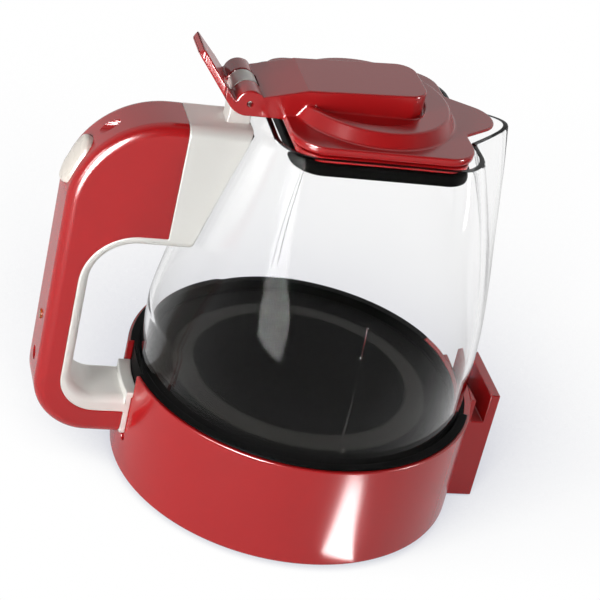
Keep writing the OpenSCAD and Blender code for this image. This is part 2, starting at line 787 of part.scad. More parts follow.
module handle_frame() color(pale) difference() {
    union() {
        difference() {
            across(handle_w) {
                difference() {
                    grip_outline();
                    finger_outline();
                }
                translate([seam_x, grip_top - e]) square([-seam_x, handle_top - grip_top + e]);
            }
            handle_edge_waste();
            finger_edge_waste();
            across(handle_w + 2) jug_side(mount_gap);
            cylinder(r = base_r + run_fit, h = base_top, $fn = 128);
        }
        // End strip against the base ring, and the tongue that lies in the ring's opening
        intersection() {
            union() {
                tube(base_r + strip_t - fit, base_r + run_fit, handle_bottom + 1, notch_floor + tongue_t);
                tube(base_r + e, base_in_r + fit, notch_floor + fit, notch_floor + tongue_t);
            }
            translate([-base_r - 9, -handle_w / 2, 0]) cube([30, handle_w, base_top]);
        }
        // Spigot inside the shell, boss of the upper screw and pedestal of the switch
        translate([seam_x - spigot_l, -handle_w / 2 + shell_wall + fit, grip_top - e])
            cube([spigot_l + e, handle_w - 2 * shell_wall - 2 * fit, handle_top - shell_wall - 1 - grip_top]);
        translate([0, 0, top_screw_z]) rod_x(boss_r - 1, top_seat_x + shell_wall + fit, seam_x);
        at_button() translate([-pedestal_w / 2, -pedestal_w / 2, -pedestal_w / 2])
            cube([pedestal_w, pedestal_w, pedestal_w / 2 + switch_z - fit]);
        // Boss of the lower screw
        translate([0, 0, low_screw_z]) rod_x(boss_r - 1, low_seat_x + shell_wall + fit, grip_x + 1);
        // Hinge post and barrel
        translate([hinge_x - post_half, -barrel_w / 2, handle_top - 2])
            cube([2 * post_half, barrel_w, hinge_z - handle_top + 2]);
        translate([hinge_x, 0, hinge_z]) rod_y(knuckle_r, barrel_w);
    }
    translate([hinge_x, 0, hinge_z]) rod_y(pin_r + run_fit, arm_w);
    translate([0, 0, top_screw_z]) rod_x(screw_r + run_fit, top_seat_x, top_seat_x + top_screw_l + 2);
    translate([0, 0, low_screw_z]) rod_x(screw_r + run_fit, low_seat_x, grip_x + 3);
    wire_holes();
}

module mount_pad() color(black) across(handle_w - 2 * pad_margin) difference() {
    intersection() {
        jug_side(mount_gap - fit);
        translate([seam_x, finger_top + 1]) square([-seam_x, handle_top - finger_top - 3]);
    }
    jug_side(fit);
}

module handle_screws() color(steel) {
    translate([top_seat_x, 0, top_screw_z]) rotate([0, 90, 0]) screw(top_screw_l);
    translate([low_seat_x, 0, low_screw_z]) rotate([0, 90, 0]) screw(grip_x + 2.5 - low_seat_x);
}

// Two wires from the switch round the grip and into the base
module handle_wires() color(copper) {
    off = 3.6;
    x = grip_x - off;
    bend = 16;
    round = grip_top_round + liner_t;
    top_z = grip_top - round;
    sweep = 64;
    for (s = [-1, 1]) translate([0, s * lead_y, 0]) {
        translate([grip_x + round, 0, top_z]) rotate([90, 0, 0])
            rotate_extrude(angle = sweep, start = 180 - sweep, $fn = 96)
                translate([round + off, 0]) circle(lead_r, $fn = 24);
        translate([x, 0, lead_z + bend]) cylinder(r = lead_r, h = top_z - lead_z - bend);
        translate([x + bend, 0, lead_z + bend]) rotate([90, 0, 0])
            rotate_extrude(angle = 90, start = 180, $fn = 96)
                translate([bend, 0]) circle(lead_r, $fn = 24);
        translate([0, 0, lead_z]) rod_x(lead_r, x + bend, block_x - fit);
    }
}

// Switch, button and lamp

module switch_body() color(black) at_button() difference() {
    union() {
        translate([-switch_l / 2, -switch_w / 2, switch_z]) cube([switch_l, switch_w, switch_h]);
        for (s = [-1, 1]) translate([-switch_l / 2 - switch_tab + e, s * lead_y - 2, switch_z + 6.6])
            cube([switch_tab, 4, tab_t]);
    }
    translate([0, 0, switch_top - plunger_in - button_travel - 2])
        cylinder(r = plunger_r + run_fit, h = plunger_in + button_travel + 3);
}

module switch_plunger() color(pale) at_button() translate([0, 0, switch_top - plunger_in])
    cylinder(r = plunger_r, h = plunger_in + plunger_out);

module power_button() color([0.88, 0.86, 0.80]) at_button() {
    intersection() {
        translate([0, 0, button_flange_z]) linear_extrude(button_top - button_flange_z)
            obround(button_l, button_w);
        rod_y(button_top, button_w + 2);
        translate([0, 0, button_top - button_w]) rotate([0, 90, 0])
            cylinder(r = button_w, h = button_l + 2, center = true);
    }
    translate([0, 0, button_flange_z]) linear_extrude(button_flange_t)
        obround(button_l + 2 * flange_r, button_w + 2 * flange_r);
    translate([0, 0, switch_top + plunger_out])
        cylinder(r = stem_r, h = button_flange_z - switch_top - plunger_out + e);
}

// Helix of the return spring, one unbroken tube
function coil_points(r, z0, z1, turns, n) = [
    for (i = [0:n]) let (a = 360 * turns * i / n) [r * cos(a), r * sin(a), z0 + (z1 - z0) * i / n]
];

module button_spring() color(steel) at_button() {
    sides = 6;
    n = spring_turns * 12;
    path = coil_points(
        spring_r, switch_top + fit + spring_wire / 2, button_flange_z - fit - spring_wire / 2, spring_turns, n
    );
    ring = [
        for (i = [0:n], k = [0:sides - 1]) let (
            a = 360 * spring_turns * i / n,
            b = 360 * k / sides,
            out = spring_wire / 2 * cos(b)
        ) path[i] + [out * cos(a), out * sin(a), spring_wire / 2 * sin(b)]
    ];
    polyhedron(points = ring, faces = concat(
        [for (i = [0:n - 1]) each band(i * sides, (i + 1) * sides, sides)],
        [for (k = [1:sides - 2]) [0, k, k + 1]],
        [for (k = [1:sides - 2]) [n * sides, n * sides + k + 1, n * sides + k]]
    ));
}

module indicator_lens() color([0.85, 0.45, 0.12]) translate([0, 0, lens_z]) {
    rod_x(lens_r, spine_x - 0.6, spine_x + shell_wall + 0.8);
    rod_x(lens_r + 1, spine_x + shell_wall + fit, spine_x + shell_wall + 1);
}

module led_board() color([0.1, 0.35, 0.2]) translate([0, 0, lens_z]) {
    board_x = spine_x + shell_wall + 2.8;
    translate([board_x, -4, -4]) cube([1.2, 8, 8]);
    rod_x(1.5, board_x - 1.7, board_x + e);
    for (s = [-1, 1]) translate([0, 0, s * 2.6]) rod_x(1, board_x, grip_x - fit);
}

// Lid

module hinge_pin() color(steel) translate([hinge_x, 0, hinge_z]) rod_y(pin_r, arm_w - 2 * pin_inset);

// Plan of the tongue over the spout: two straight edges that run into a round tip
module tongue_plan() {
    centre = tongue_reach - tongue_tip_r;
    x = centre + tongue_tip_r * sin(tongue_slope);
    y = tongue_tip_r * cos(tongue_slope);
    root_x = flange_front - 1;
    root_y = y + (x - root_x) * tan(tongue_slope);
    polygon([[root_x, -root_y], [x, -y], [x, y], [root_x, root_y]]);
    translate([centre, 0]) circle(tongue_tip_r);
}

// Side view of bar, arm, knuckle and thumb lever
module arm_outline() {
    intersection() {
        translate([hinge_x, hinge_z]) circle(knuckle_r);
        translate([hinge_x - knuckle_r - 1, arm_bottom]) square(2 * knuckle_r + 2);
    }
    polygon([
        [hinge_x + heel_x, arm_bottom], [-flange_back + 2, arm_bottom], [-flange_back + 2, flange_top - 1],
        [bar_front, flange_top - 1], [bar_front, bar_top], [arm_kink_x, bar_top - arm_kink_drop],
        [hinge_x, hinge_z] + arm_root, [hinge_x, hinge_z]
    ]);
    intersection() {
        translate([hinge_x + heel_x, arm_bottom + heel_r - run_fit]) circle(heel_r);
        translate([hinge_x - heel_r - 2, arm_bottom - 1]) square([heel_r + 4, hinge_z - arm_bottom + 1.9]);
    }
    translate([hinge_x - lever_back, hinge_z + lever_rise]) rotate(180 - lever_tilt)
        translate([-2.5, -lever_t]) square([lever_l + 2.5, lever_t]);
}

// Plan of the same: a bar with a round end, and a lever that narrows to a tip with round corners
module arm_plan() {
    heel = hinge_x - lever_back - 1;
    end = hinge_x - lever_back - lever_l * cos(lever_tilt) + 0.3;
    translate([heel, -arm_w / 2]) square([bar_front - bar_round - heel, arm_w]);
    translate([heel, -arm_w / 2 + bar_round]) square([bar_front - heel, arm_w - 2 * bar_round]);
    for (s = [-1, 1]) {
        translate([bar_front - bar_round, s * (arm_w / 2 - bar_round)]) circle(bar_round);
        translate([end + lever_tip_r, s * (lever_tip_half - lever_tip_r)]) circle(lever_tip_r);
    }
    translate([end, -lever_tip_half + lever_tip_r])
        square([2 * lever_tip_r, 2 * (lever_tip_half - lever_tip_r)]);
    polygon([
        [heel + 1, -arm_w / 2], [end + lever_tip_r, -lever_tip_half],
        [end + lever_tip_r, lever_tip_half], [heel + 1, arm_w / 2]
    ]);
}

module lid_cover() color(red) difference() {
    union() {
        translate([0, 0, lid_z]) linear_extrude(flange_t)
            round_rect(-flange_back, flange_front, flange_y, flange_round);
        translate([0, 0, flange_top - tongue_lid_t]) linear_extrude(tongue_lid_t) tongue_plan();
        // Dome with a round recess, in which the bar stands
        difference() {
            rotate_extrude($fn = 128) polygon([
                [0, flange_top - e], [dome_r, flange_top - e], [dome_r, flange_top],
                [dome_r - dome_lean, dome_top], [0, dome_top]
            ]);
            translate([-recess_back, 0, dome_top - recess_depth])
                cylinder(r = recess_r, h = recess_depth + 1, $fn = 128);
        }
        intersection() {
            across(arm_w) arm_outline();
            translate([0, 0, lid_z - 5]) linear_extrude(60) arm_plan();
        }
        at_lid_screws() translate([0, 0, plug_floor + fit]) cylinder(r = boss_lid_r, h = lid_z - plug_floor);
    }
    // Hollow under the dome
    translate([0, 0, lid_z - 1]) difference() {
        cylinder(r = recess_r - recess_back - 2, h = flange_t + dome_h - recess_depth - 0.6, $fn = 128);
        at_lid_screws() cylinder(r = boss_lid_r, h = 20);
    }
    // Pocket for the hinge barrel and its post
    translate([hinge_x, 0, hinge_z]) {
        rod_y(knuckle_r + 0.5, barrel_w + 2 * knuckle_gap);
        translate([-pocket_back, -barrel_w / 2 - knuckle_gap, -arm_drop - 2])
            cube([pocket_back + knuckle_r + 0.5, barrel_w + 2 * knuckle_gap, arm_drop + 4]);
        rod_y(pin_r + run_fit, arm_w + 2);
    }
    at_lid_screws() translate([0, 0, plug_floor - 1])
        cylinder(r = screw_r + run_fit, h = lid_z - plug_floor + 1);
}

module at_lid_screws() {
    for (x = [-1, 1], y = [-1, 1]) translate([x * lid_screw_x, y * lid_screw_y, 0]) children();
}

// Outline of the plug, drawn in by a given amount from the seal's outline
module plug_plan(in) {
    round_rect(-seal_back + in, seal_front - in, throat_y - in, max(2, plug_round - in));
}

module lid_plug() color(red) difference() {
    union() {
        translate([0, 0, plug_bottom]) linear_extrude(plug_z - plug_bottom + e) plug_plan(seal_t_lid);
        translate([0, 0, plug_z]) linear_extrude(plug_top - plug_z) plug_plan(plug_inset);
        translate([0, 0, plug_top - e]) linear_extrude(neck_h + e) plug_plan(seal_t_lid);
    }
    translate([0, 0, plug_floor]) linear_extrude(lid_z) plug_plan(seal_t_lid + plug_wall);
    at_lid_screws() translate([0, 0, plug_bottom - 1]) cylinder(r = screw_r + 0.2, h = 9);
}

module lid_seal() color(black) translate([0, 0, seal_z]) linear_extrude(seal_h - fit) difference() {
    plug_plan(0);
    plug_plan(seal_t_lid - fit);
}

module lid_screws() color(steel) at_lid_screws() translate([0, 0, plug_bottom])
    screw(lid_screw_l);

base_ring();
hook_bracket();
bracket_screws();
bottom_cover();
foot_ring();
cover_screws();
heater_plate();
jug_seal();
heat_spreader();
heating_element();
thermostat();
thermal_fuse();
terminal_block();
jumper_leads();
power_inlet();
inlet_leads();
glass_jug();
handle_shell();
handle_frame();
mount_pad();
handle_screws();
handle_wires();
switch_body();
switch_plunger();
power_button();
button_spring();
indicator_lens();
led_board();
hinge_pin();
lid_cover();
lid_plug();
lid_seal();
lid_screws();
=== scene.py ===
# Car electric kettle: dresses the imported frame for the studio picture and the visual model.
import json
import math

import bmesh
import bpy
from mathutils import Matrix, Quaternion, Vector

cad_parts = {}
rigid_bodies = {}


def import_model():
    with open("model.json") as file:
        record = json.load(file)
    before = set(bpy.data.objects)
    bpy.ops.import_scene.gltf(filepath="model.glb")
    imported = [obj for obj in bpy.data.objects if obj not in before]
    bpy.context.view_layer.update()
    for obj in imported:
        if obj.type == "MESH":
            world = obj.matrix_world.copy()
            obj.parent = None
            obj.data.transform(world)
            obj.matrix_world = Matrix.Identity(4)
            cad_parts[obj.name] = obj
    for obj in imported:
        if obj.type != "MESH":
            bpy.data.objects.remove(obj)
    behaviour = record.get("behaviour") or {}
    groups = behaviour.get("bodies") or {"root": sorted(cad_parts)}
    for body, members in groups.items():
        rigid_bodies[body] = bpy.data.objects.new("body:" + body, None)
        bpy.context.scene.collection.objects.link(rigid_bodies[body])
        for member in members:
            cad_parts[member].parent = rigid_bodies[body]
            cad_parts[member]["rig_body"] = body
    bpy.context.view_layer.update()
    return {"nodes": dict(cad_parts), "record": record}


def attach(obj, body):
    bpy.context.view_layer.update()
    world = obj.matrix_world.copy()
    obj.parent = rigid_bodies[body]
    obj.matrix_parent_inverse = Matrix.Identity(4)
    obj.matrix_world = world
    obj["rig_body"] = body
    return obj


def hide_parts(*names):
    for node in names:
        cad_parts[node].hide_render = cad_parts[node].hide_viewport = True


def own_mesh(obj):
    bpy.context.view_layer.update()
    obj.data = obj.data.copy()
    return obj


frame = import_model()
nodes = frame["nodes"]
slots = {part["node"]: part["material_slot"] for part in frame["record"]["subparts"]}
mm = 0.001
mixFirst, mixSecond, mixOut = 6, 7, 2  # colour sockets of a Mix node
print("frame loaded:", len(nodes), "nodes")


def hexLinear(code):
    # The sRGB curve undone, channel by channel
    parts = [int(code[i:i + 2], 16) / 255 for i in (1, 3, 5)]
    flat = [c / 12.92 if c <= 0.04045 else ((c + 0.055) / 1.055) ** 2.4 for c in parts]
    return (*flat, 1.0)


def addNode(tree, kind, settings=None, links=None):
    node = tree.nodes.new(kind)
    for key, value in (settings or {}).items():
        if isinstance(key, int) or key in node.inputs:
            node.inputs[key].default_value = value
        else:
            setattr(node, key, value)
    for socket, source in (links or {}).items():
        tree.links.new(source, node.inputs[socket])
    return node


# Camera: place, aim, lens, sensor and reach in millimetres, turn about the line of sight in degrees
cameraSpec = {"place": (-257.0, -713.1, 519.6), "aim": (-4.0, 10.7, 78.9), "turn": 13.87, "lens": 124.8,
              "sensor": 36, "reach": 50000}


def placeCamera(spec):
    place = Vector(spec["place"]) * mm
    back = (place - Vector(spec["aim"]) * mm).normalized()
    right = Vector((0, 0, 1)).cross(back).normalized()
    up = back.cross(right)
    turn = math.radians(spec["turn"])
    picRight = right * math.cos(turn) + up * math.sin(turn)
    picUp = up * math.cos(turn) - right * math.sin(turn)
    camera = bpy.data.cameras.new("camera")
    camera.lens = spec["lens"]
    camera.sensor_width = spec["sensor"]
    camera.clip_end = spec["reach"] * mm
    eye = bpy.data.objects.new("camera", camera)
    bpy.context.scene.collection.objects.link(eye)
    eye.matrix_world = Matrix.Translation(place) @ Matrix((picRight, picUp, back)).transposed().to_4x4()
    bpy.context.scene.camera = eye


placeCamera(cameraSpec)
print("camera placed")

# Studio: a world that is white behind the kettle and dim on the camera's side, soft boxes that only light
# the kettle and strips that only mirror in it; bearings in degrees, sizes in millimetres, power in watts
studioSpec = {
    "ambient": 0.15, "dim": 0.04, "band": 0.35, "target": (0, 0, 90),
    "boxes": {
        "keyBox": {"bearing": -146, "away": 750, "height": 250, "size": (200, 420), "power": 4.4},
        "fillBox": {"bearing": -42, "away": 700, "height": 230, "size": (130, 440), "power": 1.7},
        "backBox": {"bearing": 75, "away": 750, "height": 200, "size": (300, 300), "power": 2.4},
    },
    "strips": {
        "glintStrip": {"bearing": -152, "away": 750, "height": 260, "size": (60, 400), "power": 2.6},
        "nearStrip": {"bearing": -118, "away": 800, "height": 300, "size": (90, 200), "power": 4.0},
        "sideStrip": {"bearing": -30, "away": 700, "height": 200, "size": (90, 200), "power": 4.0},
        "floorStrip": {"bearing": -74.05, "away": 112.8, "height": 0.6, "size": (18, 60), "power": 0.08,
                       "target": (31, -108.5, 100), "roll": -32.8},
        "glassGlow": {"bearing": -130, "away": 440, "height": 180, "size": (215, 440), "power": 11.0,
                      "target": (0, 0, 180), "shape": "ELLIPSE"},
    },
}


def paintWorld(spec):
    world = bpy.data.worlds.new("studio")
    bpy.context.scene.world = world
    world.use_nodes = True
    tree = world.node_tree
    tree.nodes.clear()
    path = addNode(tree, "ShaderNodeLightPath")
    seen = addNode(tree, "ShaderNodeMath", {"operation": "MAXIMUM"},
                   {0: path.outputs["Is Camera Ray"], 1: path.outputs["Is Transmission Ray"]})
    way = addNode(tree, "ShaderNodeTexCoord").outputs["Generated"]
    depth = addNode(tree, "ShaderNodeSeparateXYZ", None, {0: way}).outputs["Y"]
    mirrored = addNode(tree, "ShaderNodeMapRange", {
        "From Min": -spec["band"], "From Max": spec["band"], "To Min": spec["dim"], "To Max": 1.0},
        {"Value": depth})
    level = addNode(tree, "ShaderNodeMix", {"A": spec["ambient"]},
                    {"Factor": path.outputs["Is Glossy Ray"], "B": mirrored.outputs[0]})
    level = addNode(tree, "ShaderNodeMix", {"B": 1.0}, {"Factor": seen.outputs[0], "A": level.outputs[0]})
    light = addNode(tree, "ShaderNodeBackground", {"Color": (1, 1, 1, 1)}, {"Strength": level.outputs[0]})
    addNode(tree, "ShaderNodeOutputWorld", None, {"Surface": light.outputs[0]})


def hangLamp(name, spec, target, mirrors):
    light = bpy.data.lights.new(name, "AREA")
    light.shape = spec.get("shape", "RECTANGLE")
    light.size, light.size_y = (side * mm for side in spec["size"])
    light.energy = spec["power"]
    holder = bpy.data.objects.new(name, light)
    bpy.context.scene.collection.objects.link(holder)
    turn = math.radians(spec["bearing"])
    place = Vector((math.cos(turn) * spec["away"], math.sin(turn) * spec["away"], spec["height"])) * mm
    holder.location = place
    holder.visible_glossy = mirrors
    holder.visible_diffuse = not mirrors
    holder.visible_camera = False
    holder.visible_transmission = False
    aim = (place - Vector(spec.get("target", target)) * mm).to_track_quat("Z", "Y")
    holder.rotation_euler = (aim @ Quaternion((0, 0, 1), math.radians(spec.get("roll", 0)))).to_euler()


bpy.context.scene.view_settings.view_transform = "Standard"
paintWorld(studioSpec)
for group, mirrors in (("boxes", False), ("strips", True)):
    for name, spec in studioSpec[group].items():
        hangLamp(name, spec, studioSpec["target"], mirrors)
print("studio set")

# Floor: white to look at, bluish where the kettle stands between it and the light; reach in millimetres
floorSpec = {"half": 3000, "reach": 480, "samples": 16, "open": (0.45, 0.9), "towards": (-0.48, -0.84, 0.25),
             "mirrored": 0.7, "shade": "#989BB0", "tone": "#F0F0F0"}


def floorPaint(spec):
    paint = bpy.data.materials.new("paleFloor")
    paint.use_nodes = True
    tree = paint.node_tree
    tree.nodes.clear()
    path = addNode(tree, "ShaderNodeLightPath")
    plain = addNode(tree, "ShaderNodeMath", {"operation": "MAXIMUM"},
                    {0: path.outputs["Is Camera Ray"], 1: path.outputs["Is Transmission Ray"]})
    seen = addNode(tree, "ShaderNodeMath", {"operation": "MAXIMUM"},
                   {0: plain.outputs[0], 1: path.outputs["Is Glossy Ray"]})
    level = addNode(tree, "ShaderNodeMapRange", {"To Min": spec["mirrored"], "To Max": 1.0},
                    {"Value": plain.outputs[0]})
    towards = addNode(tree, "ShaderNodeCombineXYZ", dict(enumerate(spec["towards"])))
    sky = addNode(tree, "ShaderNodeAmbientOcclusion",
                  {"samples": spec["samples"], "Distance": spec["reach"] * mm},
                  {"Normal": towards.outputs[0]})
    low, high = spec["open"]
    share = addNode(tree, "ShaderNodeMapRange", {"From Min": low, "From Max": high},
                    {"Value": sky.outputs["AO"]})
    tint = addNode(tree, "ShaderNodeMix", {
        "data_type": "RGBA", mixFirst: hexLinear(spec["shade"]), mixSecond: (1, 1, 1, 1)},
        {"Factor": share.outputs[0]})
    glow = addNode(tree, "ShaderNodeEmission", None,
                   {"Color": tint.outputs[mixOut], "Strength": level.outputs[0]})
    matt = addNode(tree, "ShaderNodeBsdfDiffuse", {"Color": hexLinear(spec["tone"])})
    both = addNode(tree, "ShaderNodeMixShader", None,
                   {0: seen.outputs[0], 1: matt.outputs[0], 2: glow.outputs[0]})
    addNode(tree, "ShaderNodeOutputMaterial", None, {"Surface": both.outputs[0]})
    return paint


def layFloor(spec):
    half = spec["half"] * mm
    corners = [(-half, -half, 0), (half, -half, 0), (half, half, 0), (-half, half, 0)]
    mesh = bpy.data.meshes.new("floor")
    mesh.from_pydata(corners, [], [(0, 1, 2, 3)])
    mesh.materials.append(floorPaint(spec))
    floor = bpy.data.objects.new("floor", mesh)
    bpy.context.scene.collection.objects.link(floor)


layFloor(floorSpec)
print("floor laid")


def moulded(spec):
    # A moulded or coated skin: slow colour drift, uneven gloss and a fine relief, all sized in millimetres
    paint = bpy.data.materials.new(spec["name"])
    paint.use_nodes = True
    tree = paint.node_tree
    tree.nodes.clear()
    place = addNode(tree, "ShaderNodeTexCoord").outputs["Object"]
    drift = addNode(tree, "ShaderNodeTexNoise", {"Scale": 1 / (spec["driftMm"] * mm), "Detail": 3.0},
                    {"Vector": place})
    tint = addNode(tree, "ShaderNodeMix", {
        "data_type": "RGBA", mixFirst: hexLinear(spec["colour"]), mixSecond: hexLinear(spec["shade"])},
        {"Factor": drift.outputs["Fac"]})
    if "ring" in spec:  # a paler band about the upright axis, a painted reflection on a slope
        ring = spec["ring"]
        flat = addNode(tree, "ShaderNodeVectorMath", {"operation": "MULTIPLY", 1: (1, 1, 0)}, {0: place})
        away = addNode(tree, "ShaderNodeVectorMath", {"operation": "LENGTH"}, {0: flat.outputs[0]})
        off = addNode(tree, "ShaderNodeMath", {"operation": "SUBTRACT", 1: ring["radius"] * mm},
                      {0: away.outputs["Value"]})
        off = addNode(tree, "ShaderNodeMath", {"operation": "ABSOLUTE"}, {0: off.outputs[0]})
        paintedSheen = addNode(tree, "ShaderNodeMapRange", {
            "interpolation_type": "SMOOTHSTEP",
            "From Min": ring["half"] * mm, "From Max": (ring["half"] - ring["soft"]) * mm},
            {"Value": off.outputs[0]})
        tint = addNode(tree, "ShaderNodeMix", {"data_type": "RGBA", mixSecond: hexLinear(ring["colour"])},
                       {"Factor": paintedSheen.outputs[0], mixFirst: tint.outputs[mixOut]})
    if "rim" in spec:  # an edge that the mesh marks, painted darker than the face
        rim = spec["rim"]
        marked = addNode(tree, "ShaderNodeAttribute", {"attribute_name": rim["attribute"]})
        tint = addNode(tree, "ShaderNodeMix", {"data_type": "RGBA", mixSecond: hexLinear(rim["colour"])},
                       {"Factor": marked.outputs["Fac"], mixFirst: tint.outputs[mixOut]})
    low, high = spec["rough"]
    gloss = addNode(tree, "ShaderNodeMapRange", {"To Min": low, "To Max": high},
                    {"Value": drift.outputs["Fac"]})
    grain = addNode(tree, "ShaderNodeTexNoise", {"Scale": 1 / (spec["grainMm"] * mm), "Detail": 2.0},
                    {"Vector": place})
    relief = addNode(tree, "ShaderNodeBump",
                     {"Strength": spec["reliefStrength"], "Distance": spec["reliefMm"] * mm},
                     {"Height": grain.outputs["Fac"]})
    skin = addNode(tree, "ShaderNodeBsdfPrincipled", spec["sockets"], {
        "Base Color": tint.outputs[mixOut], "Roughness": gloss.outputs[0], "Normal": relief.outputs[0]})
    addNode(tree, "ShaderNodeOutputMaterial", None, {"Surface": skin.outputs[0]})
    return paint


# Polished ABS moulding: deep even red under a bright clear skin with a faint flow unevenness
redAbs = moulded({"name": "redPolishedAbs", "colour": "#B2171A", "shade": "#AA1518", "driftMm": 30,
                  "rough": (0.16, 0.24), "grainMm": 2.2, "reliefMm": 0.02, "reliefStrength": 0.12,
                  "sockets": {"IOR": 1.53}})
# Satin ABS moulding: warm pale grey with a fine spark-eroded grain
paleAbs = moulded({"name": "paleSatinAbs", "colour": "#E3E2DD", "shade": "#DDDCD6", "driftMm": 25,
                   "rough": (0.34, 0.44), "grainMm": 0.9, "reliefMm": 0.02, "reliefStrength": 0.2,
                   "sockets": {"IOR": 1.53}})
# Ivory ABS cap, a little glossier where fingers polish it
ivoryAbs = moulded({"name": "ivoryAbs", "colour": "#E6DED4", "shade": "#DFD7CC", "driftMm": 9,
                    "rough": (0.22, 0.34), "grainMm": 0.8, "reliefMm": 0.015, "reliefStrength": 0.2,
                    "sockets": {"IOR": 1.53}})
# Silicone rubber: black with a soft bloom and a dull skin
blackSilicone = moulded({"name": "blackSilicone", "colour": "#030303", "shade": "#060606", "driftMm": 8,
                         "rough": (0.42, 0.58), "grainMm": 0.7, "reliefMm": 0.03, "reliefStrength": 0.3,
                         "sockets": {"IOR": 1.1}})
# Glass-filled nylon: black with a fine moulded grain
blackNylon = moulded({"name": "blackNylon", "colour": "#141415", "shade": "#1B1B1C", "driftMm": 12,
                      "rough": (0.45, 0.6), "grainMm": 0.6, "reliefMm": 0.03, "reliefStrength": 0.4,
                      "sockets": {"IOR": 1.53}})
# Non-stick coating on pressed steel: near black and wet gloss; the paler band on the slope round the plateau
# is a painted reflection of the lamps
blackCoat = moulded({"name": "blackCoatedSteel", "colour": "#0A0A0A", "shade": "#0D0D0C", "driftMm": 20,
                     "rough": (0.18, 0.26), "grainMm": 6, "reliefMm": 0.02, "reliefStrength": 0.05,
                     "ring": {"radius": 50.8, "half": 5.2, "soft": 1.6, "colour": "#2C2C2A"},
                     "sockets": {"IOR": 1.06}})
# Steatite ceramic: chalky off-white
steatite = moulded({"name": "steatiteCeramic", "colour": "#E4E0D4", "shade": "#D8D3C4", "driftMm": 6,
                    "rough": (0.55, 0.7), "grainMm": 0.5, "reliefMm": 0.03, "reliefStrength": 0.4,
                    "sockets": {"IOR": 1.6}})
# Silicone-sleeved wire: brick red with a rubbery skin
wireSleeve = moulded({"name": "wireSleeve", "colour": "#7A2A1E", "shade": "#6B2219", "driftMm": 5,
                      "rough": (0.45, 0.6), "grainMm": 0.6, "reliefMm": 0.03, "reliefStrength": 0.3,
                      "sockets": {"IOR": 1.41}})
# Tinted polycarbonate lens: amber and clear
amberLens = moulded({"name": "amberPolycarbonate", "colour": "#C8742A", "shade": "#B5641F", "driftMm": 4,
                     "rough": (0.12, 0.2), "grainMm": 0.6, "reliefMm": 0.01, "reliefStrength": 0.2,
                     "sockets": {"IOR": 1.58, "Transmission Weight": 0.5}})
# Solder mask over glass-epoxy board: green with a weave that just shows
boardMask = moulded({"name": "solderMask", "colour": "#1C5A34", "shade": "#174B2B", "driftMm": 3,
                     "rough": (0.3, 0.45), "grainMm": 0.5, "reliefMm": 0.02, "reliefStrength": 0.3,
                     "sockets": {"IOR": 1.5}})
# Stainless steel, wire-brushed: fine streaks that stretch the highlight
steel = moulded({"name": "brushedStainless", "colour": "#C9C8C4", "shade": "#B9B8B3", "driftMm": 4,
                 "rough": (0.24, 0.36), "grainMm": 0.4, "reliefMm": 0.01, "reliefStrength": 0.3,
                 "sockets": {"Metallic": 1.0, "Anisotropic": 0.5}})
# Rolled aluminium sheet: pale with a soft sheen
aluminium = moulded({"name": "rolledAluminium", "colour": "#D4D5D6", "shade": "#C6C7C9", "driftMm": 10,
                     "rough": (0.35, 0.5), "grainMm": 0.6, "reliefMm": 0.01, "reliefStrength": 0.3,
                     "sockets": {"Metallic": 1.0}})
# Pressed borosilicate glass: clear, with a slow waviness from the mould; the rim's top is painted dark,
# standing in for the black lid seal seen through it
clearGlass = moulded({"name": "pressedGlass", "colour": "#FEFEFE", "shade": "#FBFBFB", "driftMm": 40,
                      "rough": (0.0, 0.01), "grainMm": 28, "reliefMm": 0.05, "reliefStrength": 0.06,
                      "rim": {"attribute": "rim", "colour": "#141414"},
                      "sockets": {"IOR": 1.26, "Transmission Weight": 1.0,
                                  "Specular Tint": (0.18, 0.18, 0.18, 1)}})
print("materials mixed")

finishes = {
    "red_gloss_abs": redAbs, "pale_grey_abs": paleAbs, "button_abs": ivoryAbs,
    "black_silicone": blackSilicone, "black_plastic": blackNylon, "black_coated_steel": blackCoat,
    "clear_glass": clearGlass,
    "stainless_steel": steel, "aluminium_plate": aluminium, "white_ceramic": steatite,
    "wire_insulation": wireSleeve, "amber_lens": amberLens, "circuit_board": boardMask,
}
for node, slot in slots.items():
    nodes[node].data.materials.clear()
    nodes[node].data.materials.append(finishes[slot])
print("frame finished")


def linkMesh(name, mesh, paint, sharp):
    # Edges that bend by more than sharp, in degrees, stay crisp
    mesh.materials.clear()
    mesh.materials.append(paint)
    mesh.shade_smooth()
    mesh.set_sharp_from_angle(angle=math.radians(sharp))
    piece = bpy.data.objects.new(name, mesh)
    bpy.context.scene.collection.objects.link(piece)
    return piece


def bake(piece):
    # Turns a piece with modifiers into a plain mesh
    graph = bpy.context.evaluated_depsgraph_get()
    mesh = bpy.data.meshes.new_from_object(piece.evaluated_get(graph))
    piece.modifiers.clear()
    piece.data = mesh
    return piece


def mergedCopy(node, gap=0.002):
    # The frame's meshes are loose triangles, so a copy has corners within a gap in millimetres joined first
    work = bmesh.new()
    work.from_mesh(node.data)
    bmesh.ops.remove_doubles(work, verts=work.verts, dist=gap * mm)
    return work


def settle(work, name):
    mesh = bpy.data.meshes.new(name)
    work.to_mesh(mesh)
    work.free()
    return mesh


def fit(piece, body, stand):
    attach(piece, body)
    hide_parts(stand)


# Jug: pressed glass that runs from a round foot to a rounded-square mouth with a beak; sizes in millimetres
jugSpec = {
    "radius": 70, "wall": 2.4, "foot": 44.2, "top": 173.8, "shoulder": 74, "levels": 110, "turns": 240,
    "mouth": (43, 42.5), "corner": 16, "beakReach": 61, "beakHalf": 17, "beakSoft": 0.12, "beakRise": 2.4,
    "curve": (1.65, 0.47), "edge": 0.6, "edgeSteps": 4, "rimDepth": 0.2, "sharp": 180,
    "mark": {"turns": (math.pi / 2, 3 * math.pi / 2), "low": 61, "high": 114, "half": (1.5, 0.7), "rise": 0.9,
             "steep": 3.5, "reach": 2.0, "steps": 30},
}


def clamp(share):
    return min(max(share, 0), 1)


